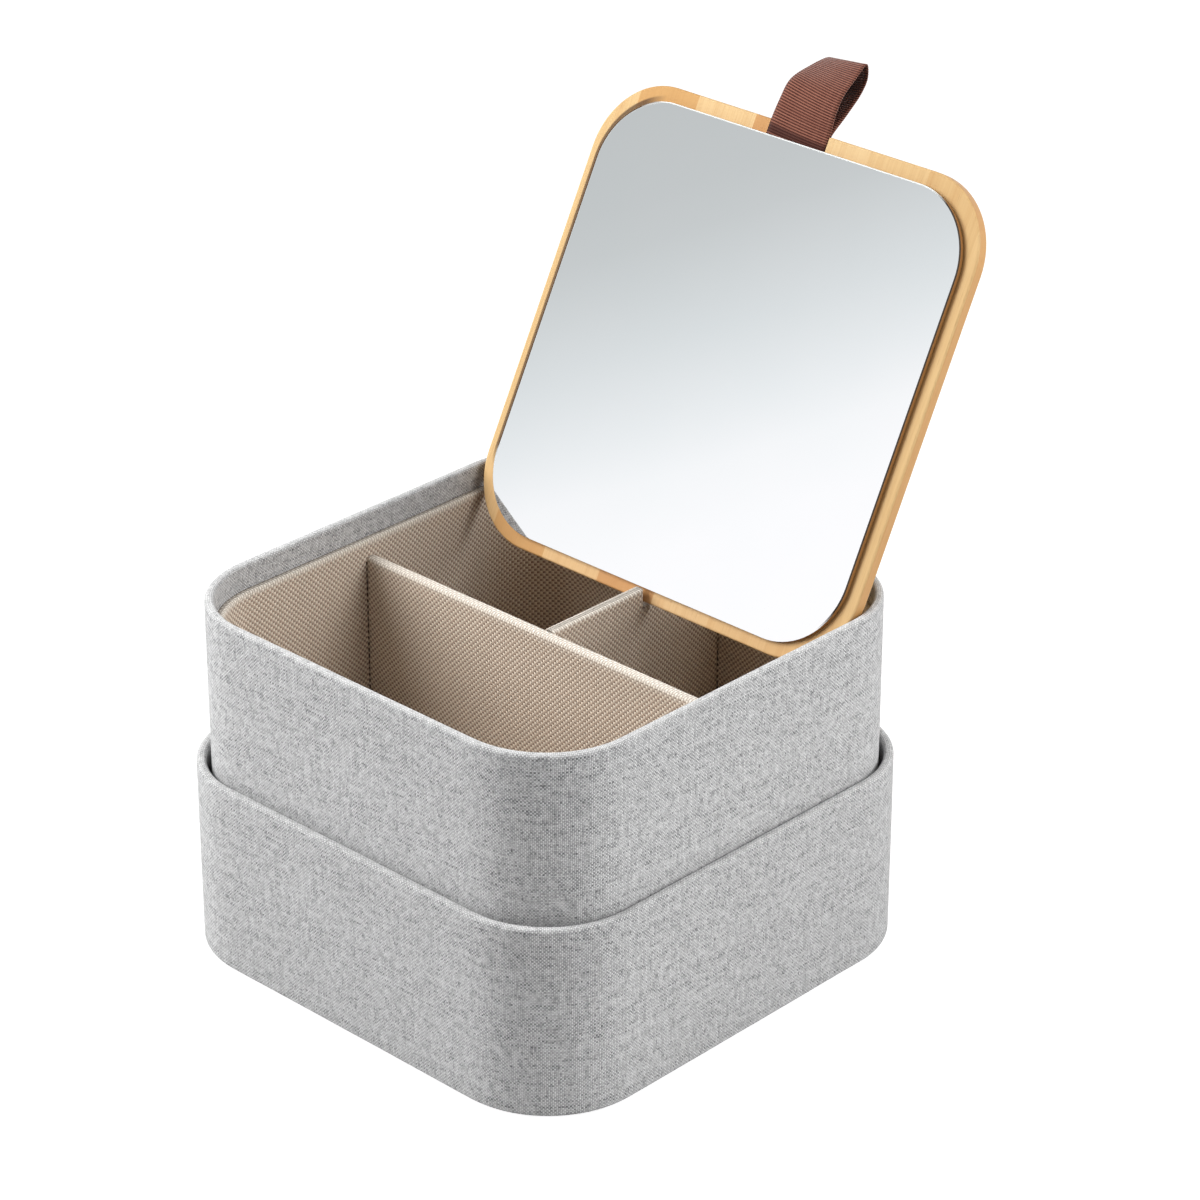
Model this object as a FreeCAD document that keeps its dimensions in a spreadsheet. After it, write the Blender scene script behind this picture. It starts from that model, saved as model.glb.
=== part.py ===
import FreeCAD, Part
import math
import os

import Sketcher

# Vanity organizer: two cloth-covered trays that nest, and a bamboo lid with a mirror that stands in a notch.
# The origin is at the middle of the lower tray's underside, +Z is up and the mirror faces -Y.

doc = FreeCAD.newDocument("vanity_organizer")

# Driving sizes in millimetres, and one angle in degrees
sizes = {
    # Trays
    "lower_side": 180.0,
    "lower_corner": 35.0,
    "lower_height": 66.8,
    "upper_corner": 33.4,
    "upper_height": 73.6,
    "nest_depth": 16.4,
    "nest_gap": 0.7,
    "lid_seat_depth": 8.6,
    # Boards and cloths
    "wall_board": 2.0,
    "base_board": 2.0,
    "liner_board": 1.8,
    "floor_card": 1.2,
    "cover_cloth": 0.6,
    "lining_cloth": 0.6,
    "turned_in": 24.0,
    "turned_under": 14.0,
    "rim_round": 1.3,
    "ledge_round": 0.9,
    "floor_gap": 0.3,
    # Dividers
    "divider_board": 2.8,
    "divider_drop": 6.0,
    "divider_round": 0.9,
    "notch_depth": 7.0,
    "notch_inset": 36.3,
    "notch_gap": 0.2,
    # Lid
    "lid_thick": 4.4,
    "lid_lean": 28.0,
    "lid_side_gap": 0.5,
    "lid_end_gap": 2.0,
    "lid_corner_drop": 3.2,
    "lid_edge_round": 0.8,
    "mirror_thick": 1.8,
    "mirror_side_margin": 4.9,
    "mirror_top_margin": 5.2,
    "mirror_foot_margin": 4.5,
    "mirror_corner": 25.0,
    "mirror_arris": 0.4,
    "bed_thick": 0.2,
    "bed_inset": 2.0,
    # Ribbon pull
    "ribbon_width": 25.0,
    "ribbon_thick": 0.5,
    "ribbon_offset": -1.2,
    "ribbon_tuck": 14.0,
    "ribbon_gap": 0.1,
    "loop_height": 25.5,
    "loop_back": 18.8,
    "loop_split": 2.4,
    "cut_overrun": 1.0,
}

# How far a round may reach across the thickness that it is cut in, and how closely edges are told apart
round_share = 0.45
edge_digits = 4

sheet = doc.addObject("Spreadsheet::Sheet", "dims")
for row, (alias, value) in enumerate(sizes.items(), start=1):
    sheet.set(f"A{row}", alias)
    sheet.set(f"B{row}", str(value))
    sheet.setAlias(f"B{row}", alias)
doc.recompute()


# The number that an expression of the sheet's sizes stands for
def worth(expression):
    return float(sheet.evalExpression(expression))


def new_body(name, level="0"):
    body = doc.addObject("PartDesign::Body", name)
    body.Label = name
    body.setExpression("Placement.Base.z", level)
    return body


# An empty sketch on one of the body's own planes, moved along the plane's normal and up the plane
def new_sketch(body, name, role="XY_Plane", lift="0", up="0"):
    sketch = body.newObject("Sketcher::SketchObject", f"{body.Name}_{name}")
    plane = next(feature for feature in body.Origin.OriginFeatures if feature.Role == role)
    sketch.AttachmentSupport = [(plane, "")]
    sketch.MapMode = "FlatFace"
    sketch.setExpression("AttachmentOffset.Base.z", lift)
    sketch.setExpression("AttachmentOffset.Base.y", up)
    return sketch


def bind(sketch, constraint, expression):
    index = sketch.addConstraint(constraint)
    sketch.setExpression(f"Constraints[{index}]", expression)


# A rectangle with round corners, centred on the sketch's origin
def add_rounded(sketch, half_x, half_y, corner):
    radius = worth(corner)
    far_x, far_y = worth(half_x), worth(half_y)
    mid_x, mid_y = far_x - radius, far_y - radius
    first = sketch.GeometryCount
    sides = (
        ((-mid_x, -far_y), (mid_x, -far_y)),
        ((far_x, -mid_y), (far_x, mid_y)),
        ((mid_x, far_y), (-mid_x, far_y)),
        ((-far_x, mid_y), (-far_x, -mid_y)),
    )
    for start, end in sides:
        sketch.addGeometry(Part.LineSegment(FreeCAD.Vector(*start, 0), FreeCAD.Vector(*end, 0)))
    centres = ((mid_x, -mid_y), (mid_x, mid_y), (-mid_x, mid_y), (-mid_x, -mid_y))
    for turn, (x, y) in enumerate(centres):
        circle = Part.Circle(FreeCAD.Vector(x, y, 0), FreeCAD.Vector(0, 0, 1), radius)
        begin = (turn - 1) * math.pi / 2
        sketch.addGeometry(Part.ArcOfCircle(circle, begin, begin + math.pi / 2))
    arcs = [first + 4 + turn for turn in range(4)]
    for turn in range(4):
        line, arc = first + turn, arcs[turn]
        following = first + (turn + 1) % 4
        sketch.addConstraint(Sketcher.Constraint("Tangent", line, 2, arc, 1))
        sketch.addConstraint(Sketcher.Constraint("Tangent", arc, 2, following, 1))
        sketch.addConstraint(Sketcher.Constraint("Vertical" if turn % 2 else "Horizontal", line))
        if turn:
            sketch.addConstraint(Sketcher.Constraint("Equal", arcs[0], arc))
    sketch.addConstraint(Sketcher.Constraint("Symmetric", arcs[0], 3, arcs[2], 3, -1, 1))
    across = Sketcher.Constraint("DistanceX", arcs[3], 3, arcs[0], 3, 2 * mid_x)
    along = Sketcher.Constraint("DistanceY", arcs[0], 3, arcs[1], 3, 2 * mid_y)
    bind(sketch, Sketcher.Constraint("Radius", arcs[0], radius), corner)
    bind(sketch, across, f"2 * ({half_x} - ({corner}))")
    bind(sketch, along, f"2 * ({half_y} - ({corner}))")


# A closed outline of straight lines through points given as pairs of expressions
def add_polygon(sketch, points):
    first = sketch.GeometryCount
    places = [FreeCAD.Vector(worth(x), worth(y), 0) for x, y in points]
    count = len(points)
    for turn in range(count):
        sketch.addGeometry(Part.LineSegment(places[turn], places[(turn + 1) % count]))
    for turn, (x, y) in enumerate(points):
        following = first + (turn + 1) % count
        sketch.addConstraint(Sketcher.Constraint("Coincident", first + turn, 2, following, 1))
        bind(sketch, Sketcher.Constraint("DistanceX", -1, 1, first + turn, 1, places[turn].x), x)
        bind(sketch, Sketcher.Constraint("DistanceY", -1, 1, first + turn, 1, places[turn].y), y)


def add_pad(body, sketch, length, both_ways=False):
    pad = body.newObject("PartDesign::Pad", f"{sketch.Name}_pad")
    pad.Profile = sketch
    pad.SideType = "Symmetric" if both_ways else "One side"
    pad.setExpression("Length", length)
    doc.recompute()


# A pocket has to take material away, so its volume is compared with the base it cuts
def add_pocket(body, sketch, length, both_ways=False):
    before = body.Shape.Volume
    pocket = body.newObject("PartDesign::Pocket", f"{sketch.Name}_pocket")
    pocket.Profile = sketch
    pocket.SideType = "Symmetric" if both_ways else "One side"
    pocket.setExpression("Length", length)
    doc.recompute()
    if body.Shape.Volume >= before:
        raise RuntimeError(f"{pocket.Name} cuts nothing")


# Rounds or bevels the edges of a body that a rule picks
def ease_edges(body, kind, size_name, expression, picks):
    tip = body.Tip
    names = [f"Edge{i}" for i, edge in enumerate(tip.Shape.Edges, start=1) if picks(edge)]
    if not names:
        raise RuntimeError(f"{body.Name} has no edge to ease")
    feature = body.newObject(f"PartDesign::{kind}", f"{body.Name}_{kind.lower()}_{len(body.Group)}")
    feature.Base = (tip, names)
    feature.setExpression(size_name, expression)
    doc.recompute()


# Whether a length is the one that an expression stands for, to a few decimal places
def is_worth(length, expression):
    return round(length - worth(expression), edge_digits) == 0


# Whether an edge lies in the level plane at a height
def lies_at(edge, height):
    return is_worth(edge.BoundBox.ZMin, height) and is_worth(edge.BoundBox.ZMax, height)


# Whether an edge belongs to the rounded square of one half side
def lies_round(edge, half):
    return is_worth(max(max(abs(vertex.X), abs(vertex.Y)) for vertex in edge.Vertexes), half)


# A plate with a tray's outline drawn in by one inset, or a ring between two insets
def add_layer(body, name, tray, insets, lift, length):
    sketch = new_sketch(body, name, lift=lift)
    for inset in insets:
        half = f"{tray['half']} - ({inset})"
        add_rounded(sketch, half, half, f"{tray['corner']} - ({inset})")
    add_pad(body, sketch, length)


# Insets from a tray's outer face, from the cloth inwards
board_face = "dims.cover_cloth"
board_back = "dims.cover_cloth + dims.wall_board"
wall_face = "2 * dims.cover_cloth + dims.wall_board"
liner_back = f"{wall_face} + dims.liner_board"
lining_face = f"{liner_back} + dims.lining_cloth"

# Heights above a tray's own underside
base_top = "dims.cover_cloth + dims.base_board"
card_top = f"{base_top} + dims.floor_card"
floor_top = f"{card_top} + dims.lining_cloth"

lower = {
    "name": "lower",
    "half": "dims.lower_side / 2",
    "corner": "dims.lower_corner",
    "height": "dims.lower_height",
    "ledge": "dims.lower_height - dims.nest_depth",
    "level": "0",
}
upper = {
    "name": "upper",
    "half": f"dims.lower_side / 2 - ({wall_face}) - dims.nest_gap",
    "corner": "dims.upper_corner",
    "height": "dims.upper_height",
    "ledge": "dims.upper_height - dims.lid_seat_depth",
    "level": lower["ledge"],
}


# One tray: board band and base, cover cloth, base sheet, lined inner band and lined floor card
def make_tray(tray):
    name, height, level, ledge = tray["name"], tray["height"], tray["level"], tray["ledge"]
    cloth_top = f"{height} - dims.cover_cloth"
    band_height = f"{cloth_top} - dims.cover_cloth"
    lining_top = f"{ledge} - dims.lining_cloth"
    rim_round = f"min(dims.rim_round; ({wall_face}) * {round_share})"
    ledge_round = f"min(dims.ledge_round; (dims.liner_board + dims.lining_cloth) * {round_share})"

    band = new_body(f"{name}_wall_board", level)
    add_layer(band, "band", tray, (board_face, board_back), "dims.cover_cloth", band_height)

    base = new_body(f"{name}_base_board", level)
    add_layer(base, "plate", tray, (board_back,), "dims.cover_cloth", "dims.base_board")

    cloth = new_body(f"{name}_cover_cloth", level)
    add_layer(cloth, "skin", tray, ("0", board_face), "0", height)
    add_layer(cloth, "fold", tray, ("0", wall_face), cloth_top, "dims.cover_cloth")
    add_layer(cloth, "turn", tray, (board_back, wall_face), f"{height} - dims.turned_in", "dims.turned_in")
    add_layer(cloth, "hem", tray, ("0", "dims.turned_under"), "0", "dims.cover_cloth")
    ease_edges(cloth, "Fillet", "Radius", rim_round, lambda edge: lies_at(edge, height))

    def is_foot(edge):
        return lies_at(edge, "0") and lies_round(edge, tray["half"])

    ease_edges(cloth, "Fillet", "Radius", rim_round, is_foot)

    under = new_body(f"{name}_base_sheet", level)
    add_layer(under, "plate", tray, ("dims.turned_under",), "0", "dims.cover_cloth")

    liner = new_body(f"{name}_liner_board", level)
    add_layer(liner, "band", tray, (wall_face, liner_back), base_top, f"{lining_top} - ({base_top})")

    lining = new_body(f"{name}_lining_cloth", level)
    add_layer(lining, "skin", tray, (liner_back, lining_face), base_top, f"{ledge} - ({base_top})")
    add_layer(lining, "fold", tray, (wall_face, lining_face), lining_top, "dims.lining_cloth")

    def is_ledge(edge):
        return lies_at(edge, ledge) and lies_round(edge, f"{tray['half']} - ({lining_face})")

    ease_edges(lining, "Fillet", "Radius", ledge_round, is_ledge)

    floor_inset = f"{lining_face} + dims.floor_gap"
    card = new_body(f"{name}_floor_card", level)
    add_layer(card, "plate", tray, (floor_inset,), base_top, "dims.floor_card")

    floor = new_body(f"{name}_floor_lining", level)
    add_layer(floor, "plate", tray, (floor_inset,), card_top, "dims.lining_cloth")
    return [band, base, cloth, under, liner, lining, card, floor]


# Places in the upper tray that the dividers and the lid share, with heights above that tray's underside
reach = f"({upper['half']} - ({lining_face}))"
divider_half = "(dims.divider_board / 2 + dims.lining_cloth)"
divider_top = f"({upper['ledge']} - dims.divider_drop)"
notch_front = f"({reach} - dims.notch_inset)"
notch_floor = f"({divider_top} - dims.notch_depth)"
lean_sine = "sin(dims.lid_lean * 1 deg)"
lean_cosine = "cos(dims.lid_lean * 1 deg)"
lid_back_y = f"({notch_front} + dims.notch_gap + dims.lid_thick * {lean_cosine})"
lid_rise = "(dims.notch_depth - dims.notch_gap)"
notch_rear = f"({lid_back_y} + {lid_rise} * {lean_sine} / {lean_cosine} + dims.notch_gap)"
divider_round = f"min(dims.divider_round; {divider_half} * 2 * {round_share})"


# A board under a cloth that is folded over its top from one side to the other
def make_long_divider():
    level = upper["level"]
    board = new_body("long_divider_board", level)
    half_board = "dims.divider_board / 2"
    board_top = f"{divider_top} - dims.lining_cloth"
    profile = (
        (f"-({half_board})", floor_top),
        (half_board, floor_top),
        (half_board, board_top),
        (f"-({half_board})", board_top),
    )
    outline = new_sketch(board, "outline", "YZ_Plane")
    add_polygon(outline, profile)
    add_pad(board, outline, f"2 * {reach}", both_ways=True)

    cloth = new_body("long_divider_cloth", level)
    wrap = new_sketch(cloth, "wrap", "YZ_Plane")
    add_polygon(
        wrap,
        (
            (f"-{divider_half}", floor_top),
            (f"-({half_board})", floor_top),
            (f"-({half_board})", board_top),
            (half_board, board_top),
            (half_board, floor_top),
            (divider_half, floor_top),
            (divider_half, divider_top),
            (f"-{divider_half}", divider_top),
        ),
    )
    add_pad(cloth, wrap, f"2 * {reach}", both_ways=True)

    def is_top(edge):
        return lies_at(edge, divider_top) and edge.BoundBox.XLength > edge.BoundBox.YLength

    ease_edges(cloth, "Fillet", "Radius", divider_round, is_top)
    return [board, cloth]


# Outline of the short divider seen from the side, drawn in along its top and round its notch
def notched_outline(inset):
    return (
        (divider_half, floor_top),
        (reach, floor_top),
        (reach, f"{divider_top} - {inset}"),
        (f"{notch_rear} + {inset}", f"{divider_top} - {inset}"),
        (f"{notch_rear} + {inset}", f"{notch_floor} - {inset}"),
        (f"{notch_front} - {inset}", f"{notch_floor} - {inset}"),
        (f"{notch_front} - {inset}", f"{divider_top} - {inset}"),
        (divider_half, f"{divider_top} - {inset}"),
    )


def make_short_divider():
    level = upper["level"]
    board = new_body("short_divider_board", level)
    outline = new_sketch(board, "outline", "YZ_Plane")
    add_polygon(outline, notched_outline("dims.lining_cloth"))
    add_pad(board, outline, "dims.divider_board", both_ways=True)

    cloth = new_body("short_divider_cloth", level)
    wrap = new_sketch(cloth, "wrap", "YZ_Plane")
    add_polygon(wrap, notched_outline("0"))
    add_pad(cloth, wrap, f"2 * {divider_half}", both_ways=True)

    def is_top(edge):
        return lies_at(edge, divider_top) and edge.BoundBox.YLength > edge.BoundBox.XLength

    ease_edges(cloth, "Fillet", "Radius", divider_round, is_top)
    hollow = new_sketch(cloth, "hollow", "YZ_Plane")
    add_polygon(hollow, notched_outline("dims.lining_cloth"))
    add_pocket(cloth, hollow, "dims.divider_board", both_ways=True)
    return [board, cloth]


# The lid is drawn flat, mirror up, with its foot edge at y 0, and is then leaned back in the notch
lid_half = f"({upper['half']} - ({wall_face}) - dims.lid_side_gap)"
lid_length = f"(2 * ({upper['half']} - ({wall_face}) - dims.lid_end_gap))"
lid_corner = f"({upper['corner']} - ({wall_face}) - dims.lid_corner_drop)"
lid_foot_z = f"({upper['level']} + {notch_floor} + dims.notch_gap + dims.lid_thick * {lean_sine})"
mirror_half = f"({lid_half} - dims.mirror_side_margin)"
mirror_length = f"({lid_length} - dims.mirror_top_margin - dims.mirror_foot_margin)"
mirror_middle = f"(dims.mirror_foot_margin + {mirror_length} / 2)"
mirror_top = f"({lid_length} - dims.mirror_top_margin)"
rebate_depth = "(2 * dims.ribbon_thick - dims.bed_thick + dims.ribbon_gap)"
rebate_half = "(dims.ribbon_width / 2 + dims.ribbon_gap)"
rebate_foot = f"({mirror_top} - dims.ribbon_tuck)"


def lean_back(feature):
    feature.setExpression("Placement.Rotation.Axis.x", "1")
    feature.setExpression("Placement.Rotation.Axis.z", "0")
    feature.setExpression("Placement.Rotation.Angle", "90 - dims.lid_lean")
    feature.setExpression("Placement.Base.y", f"{notch_front} + dims.notch_gap")
    feature.setExpression("Placement.Base.z", lid_foot_z)


# A rectangle across the ribbon's place, from one height on the lid to another
def ribbon_strip(half_width, foot, top):
    left = f"dims.ribbon_offset - {half_width}"
    right = f"dims.ribbon_offset + {half_width}"
    return ((left, foot), (right, foot), (right, top), (left, top))


def make_lid():
    panel = new_body("lid_panel")
    outline = new_sketch(panel, "outline", lift="-dims.lid_thick", up=f"{lid_length} / 2")
    add_rounded(outline, lid_half, f"{lid_length} / 2", lid_corner)
    add_pad(panel, outline, "dims.lid_thick")

    def is_rim(edge):
        return lies_at(edge, "0") or lies_at(edge, "-dims.lid_thick")

    edge_round = f"min(dims.lid_edge_round; dims.lid_thick * {round_share})"
    ease_edges(panel, "Fillet", "Radius", edge_round, is_rim)
    rebate = new_sketch(panel, "rebate")
    add_polygon(rebate, ribbon_strip(rebate_half, rebate_foot, f"{lid_length} + dims.cut_overrun"))
    add_pocket(panel, rebate, rebate_depth)

    bed = new_body("mirror_bed")
    film = new_sketch(bed, "film", up=mirror_middle)
    add_rounded(
        film,
        f"{mirror_half} - dims.bed_inset",
        f"{mirror_length} / 2 - dims.bed_inset",
        "dims.mirror_corner - dims.bed_inset",
    )
    add_pad(bed, film, "dims.bed_thick")
    gap = new_sketch(bed, "gap", lift="dims.bed_thick")
    add_polygon(gap, ribbon_strip(rebate_half, rebate_foot, f"{lid_length} + dims.cut_overrun"))
    add_pocket(bed, gap, "dims.bed_thick")

    glass = new_body("mirror_glass")
    pane = new_sketch(glass, "pane", lift="dims.bed_thick", up=mirror_middle)
    add_rounded(pane, mirror_half, f"{mirror_length} / 2", "dims.mirror_corner")
    add_pad(glass, pane, "dims.mirror_thick")

    def is_face(edge):
        return lies_at(edge, "dims.bed_thick + dims.mirror_thick")

    arris = f"min(dims.mirror_arris; dims.mirror_thick * {round_share})"
    ease_edges(glass, "Chamfer", "Size", arris, is_face)

    tails = new_body("pull_tails")
    strip = new_sketch(tails, "strip", lift=f"-{rebate_depth}")
    add_polygon(strip, ribbon_strip("dims.ribbon_width / 2", rebate_foot, lid_length))
    add_pad(tails, strip, "2 * dims.ribbon_thick")

    pieces = [panel, bed, glass, tails]
    for piece in pieces:
        lean_back(piece)
    return pieces


# Side views of the loop's two edges, as shares of its height and of how far back it reaches.
# They run from the root up the front strand to the crease and down the back strand.
right_edge_shares = (
    (0.27, -0.08),
    (0.52, -0.04),
    (0.77, 0.12),
    (1.0, 0.30),
    (0.84, 0.46),
    (0.64, 0.44),
    (0.31, 0.25),
)
left_edge_shares = (
    (0.23, 0.01),
    (0.51, 0.10),
    (0.74, 0.44),
    (0.97, 1.00),
    (0.76, 1.01),
    (0.54, 0.89),
    (0.24, 0.46),
)


# A point of the loop: across the lid, up from the hinge line, and back from it
def loop_point(x, rise, back):
    axis_y = worth(f"{lid_length} + dims.ribbon_thick + dims.ribbon_gap")
    axis_z = worth(f"dims.ribbon_thick - {rebate_depth}")
    return FreeCAD.Vector(x, axis_y + rise, axis_z - back)


# The two side views mixed: a share of 0 is the left edge of the ribbon and 1 its right edge
def loop_section(share):
    height, back = worth("dims.loop_height"), worth("dims.loop_back")
    return [
        (height * (a[0] + share * (b[0] - a[0])), back * (a[1] + share * (b[1] - a[1])))
        for a, b in zip(left_edge_shares, right_edge_shares)
    ]


# Each point of a side view moved inwards by the ribbon's thickness, square to the line of its neighbours
def drawn_in(points, root, thickness):
    ring = [root] + points + [root]
    moved = []
    for before, here, after in zip(ring, points, ring[2:]):
        along, across = after[0] - before[0], after[1] - before[1]
        length = math.hypot(along, across)
        moved.append((here[0] - thickness * across / length, here[1] + thickness * along / length))
    return moved


# Four arcs from a start point round the loop's seven points to an end point, all at one x
def loop_arcs(x, start, points, end):
    stops = [start] + points + [end]
    places = [loop_point(x, *stop) for stop in stops]
    return [Part.Arc(*places[i : i + 3]).toShape() for i in range(0, len(places) - 1, 2)]


def make_pull_loop():
    thickness = worth("dims.ribbon_thick")
    half_width, middle = worth("dims.ribbon_width / 2"), worth("dims.ribbon_offset")
    overrun_share = worth("dims.cut_overrun / dims.ribbon_width")
    root_foot, root_front, root_back = (-thickness, 0), (0, -thickness), (0, thickness)
    split = (worth("dims.loop_split"), thickness / 2)

    def outer_wire(share):
        x = middle + half_width * (2 * share - 1)
        arcs = loop_arcs(x, root_front, loop_section(share), root_back)
        places = [loop_point(x, *stop) for stop in (root_back, root_foot, root_front)]
        return Part.Wire(arcs + [Part.Arc(*places).toShape()])

    def inner_wire(share):
        x = middle + half_width * (2 * share - 1)
        return Part.Wire(loop_arcs(x, split, drawn_in(loop_section(share), split, thickness), split))

    outside = Part.makeLoft([outer_wire(0), outer_wire(1)], True, True)
    inside = Part.makeLoft([inner_wire(-overrun_share), inner_wire(1 + overrun_share)], True, True)
    loop = doc.addObject("Part::Feature", "pull_loop")
    loop.Label = "pull_loop"
    loop.Shape = outside.cut(inside)
    lean_back(loop)
    return [loop]


pieces = make_tray(lower) + make_tray(upper)
pieces += make_long_divider() + make_short_divider()
pieces += make_lid() + make_pull_loop()
doc.recompute()

# Nothing is written unless every object is sound and every piece is one valid solid
for item in doc.Objects:
    if {"Invalid", "Error"} & set(item.State):
        raise RuntimeError(f"{item.Name} failed: {item.State}")
for piece in pieces:
    if piece.Shape.isNull() or not piece.Shape.isValid() or len(piece.Shape.Solids) != 1:
        raise RuntimeError(f"{piece.Label} is not one valid solid")

os.makedirs("parts", exist_ok=True)
for piece in pieces:
    piece.Shape.exportStep(f"parts/{piece.Label}.step")
    print(f"{piece.Label}: {piece.Shape.Volume / 1000:.2f} cm3")
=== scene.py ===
import math

import bmesh
import bpy
import numpy as np
from mathutils import Matrix, Vector


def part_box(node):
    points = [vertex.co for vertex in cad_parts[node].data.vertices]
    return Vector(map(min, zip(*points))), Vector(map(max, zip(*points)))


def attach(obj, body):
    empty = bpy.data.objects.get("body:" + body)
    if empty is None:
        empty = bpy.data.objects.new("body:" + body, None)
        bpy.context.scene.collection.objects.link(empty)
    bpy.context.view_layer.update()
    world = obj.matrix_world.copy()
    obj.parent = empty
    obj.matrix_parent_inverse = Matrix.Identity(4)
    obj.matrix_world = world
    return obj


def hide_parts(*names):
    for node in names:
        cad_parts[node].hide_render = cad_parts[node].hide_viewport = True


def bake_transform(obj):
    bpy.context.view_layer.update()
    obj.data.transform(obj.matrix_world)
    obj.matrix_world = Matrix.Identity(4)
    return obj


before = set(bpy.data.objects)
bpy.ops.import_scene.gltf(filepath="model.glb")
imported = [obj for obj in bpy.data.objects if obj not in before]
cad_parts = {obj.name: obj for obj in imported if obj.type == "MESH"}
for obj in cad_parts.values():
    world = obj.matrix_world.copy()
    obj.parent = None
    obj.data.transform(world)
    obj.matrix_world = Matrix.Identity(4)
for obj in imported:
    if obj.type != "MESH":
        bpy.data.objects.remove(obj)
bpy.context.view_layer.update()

mm = 0.001
print("frame loaded:", len(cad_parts), "nodes")


# colours are written as they look on screen
def paint(red, green, blue):
    return tuple((c / 255) ** 2.2 for c in (red, green, blue)) + (1.0,)


def addNode(tree, kind, *inputs, **settings):
    made = tree.nodes.new("ShaderNode" + kind)
    for name, value in settings.items():
        setattr(made, name, value)
    for index, value in enumerate(inputs):
        if isinstance(value, bpy.types.NodeSocket):
            tree.links.new(value, made.inputs[index])
        elif value is not None:
            made.inputs[index].default_value = value
    return made


def calc(tree, operation, *inputs):
    return addNode(tree, "Math", *inputs, operation=operation).outputs[0]


def blendColour(tree, share, first, second):
    mix = addNode(tree, "Mix", data_type="RGBA")
    for index, value in ((0, share), (6, first), (7, second)):
        if isinstance(value, bpy.types.NodeSocket):
            tree.links.new(value, mix.inputs[index])
        else:
            mix.inputs[index].default_value = value
    return mix.outputs[2]


def blendValue(tree, share, first, second):
    return addNode(tree, "Mix", share, None, first, second).outputs[0]


def spread(tree, value, fromLow, fromHigh, toLow, toHigh, kind="LINEAR"):
    limits = (fromLow, fromHigh, toLow, toHigh)
    return addNode(tree, "MapRange", value, *limits, interpolation_type=kind).outputs[0]


def splitVector(tree, vector):
    return addNode(tree, "SeparateXYZ", vector).outputs


def joinVector(tree, x, y, z=0.0):
    return addNode(tree, "CombineXYZ", x, y, z).outputs[0]


def grainNoise(tree, vector, scale, detail=2.0, rough=0.5, dimensions="3D"):
    noise = addNode(tree, "TexNoise", noise_dimensions=dimensions)
    tree.links.new(vector, noise.inputs["Vector"])
    noise.inputs["Scale"].default_value = scale
    noise.inputs["Detail"].default_value = detail
    noise.inputs["Roughness"].default_value = rough
    return noise.outputs[0]


# one random tone for each whole number
def dice(tree, value, seed):
    noise = addNode(tree, "TexWhiteNoise", noise_dimensions="2D")
    tree.links.new(joinVector(tree, value, seed), noise.inputs["Vector"])
    return noise.outputs[0]


def fillRamp(ramp, stops):
    elements = ramp.color_ramp.elements
    while len(elements) < len(stops):
        elements.new(1.0)
    for element, (position, colour) in zip(elements, stops):
        element.position = position
        element.color = colour


def newMaterial(name):
    material = bpy.data.materials.new(name)
    material.use_nodes = True
    tree = material.node_tree
    shader = tree.nodes["Principled BSDF"]
    return material, tree, shader


def setShader(tree, shader, **values):
    for name, value in values.items():
        socket = shader.inputs[name.replace("_", " ")]
        if isinstance(value, bpy.types.NodeSocket):
            tree.links.new(value, socket)
        else:
            socket.default_value = value


def addBump(tree, shader, height, depth):
    bump = addNode(tree, "Bump")
    bump.inputs["Distance"].default_value = depth
    tree.links.new(height, bump.inputs["Height"])
    tree.links.new(bump.outputs[0], shader.inputs["Normal"])


# plain weave in units of one thread: which thread is on top, how high it stands, and where the cloth folds
def weaveParts(tree):
    uv = addNode(tree, "UVMap", uv_map="threads").outputs[0]
    u, v, _ = splitVector(tree, uv)
    column, row = calc(tree, "FLOOR", u), calc(tree, "FLOOR", v)
    over = calc(tree, "FLOORED_MODULO", calc(tree, "ADD", column, row), 2.0)
    across = calc(tree, "SINE", calc(tree, "MULTIPLY", calc(tree, "FRACT", u), math.pi))
    along = calc(tree, "SINE", calc(tree, "MULTIPLY", calc(tree, "FRACT", v), math.pi))
    warpCrown = calc(tree, "MULTIPLY_ADD", along, 0.45, 0.55)
    weftCrown = calc(tree, "MULTIPLY_ADD", across, 0.45, 0.55)
    warpHeight = calc(tree, "MULTIPLY", calc(tree, "POWER", across, 0.6), warpCrown)
    weftHeight = calc(tree, "MULTIPLY", calc(tree, "POWER", along, 0.6), weftCrown)
    return {
        "u": u, "v": v, "column": column, "row": row, "over": over, "across": across,
        "height": blendValue(tree, over, warpHeight, weftHeight),
        "fold": addNode(tree, "Attribute", attribute_name="fold").outputs["Fac"],
    }


greyCloth = {
    "warp": paint(222, 222, 222),
    "weft": paint(172, 172, 173),
    "fleck": paint(70, 71, 73),
    "gap": paint(66, 66, 68),
    "crown": paint(240, 240, 239),
    "depth": 0.16 * mm,
}


# how the fibres come and go along one thread
def threadRun(tree, thread, along, pace):
    spot = joinVector(tree, calc(tree, "MULTIPLY", thread, 3.7), calc(tree, "MULTIPLY", along, pace))
    return grainNoise(tree, spot, 1.0, 3.0, 0.6, "2D")


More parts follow.
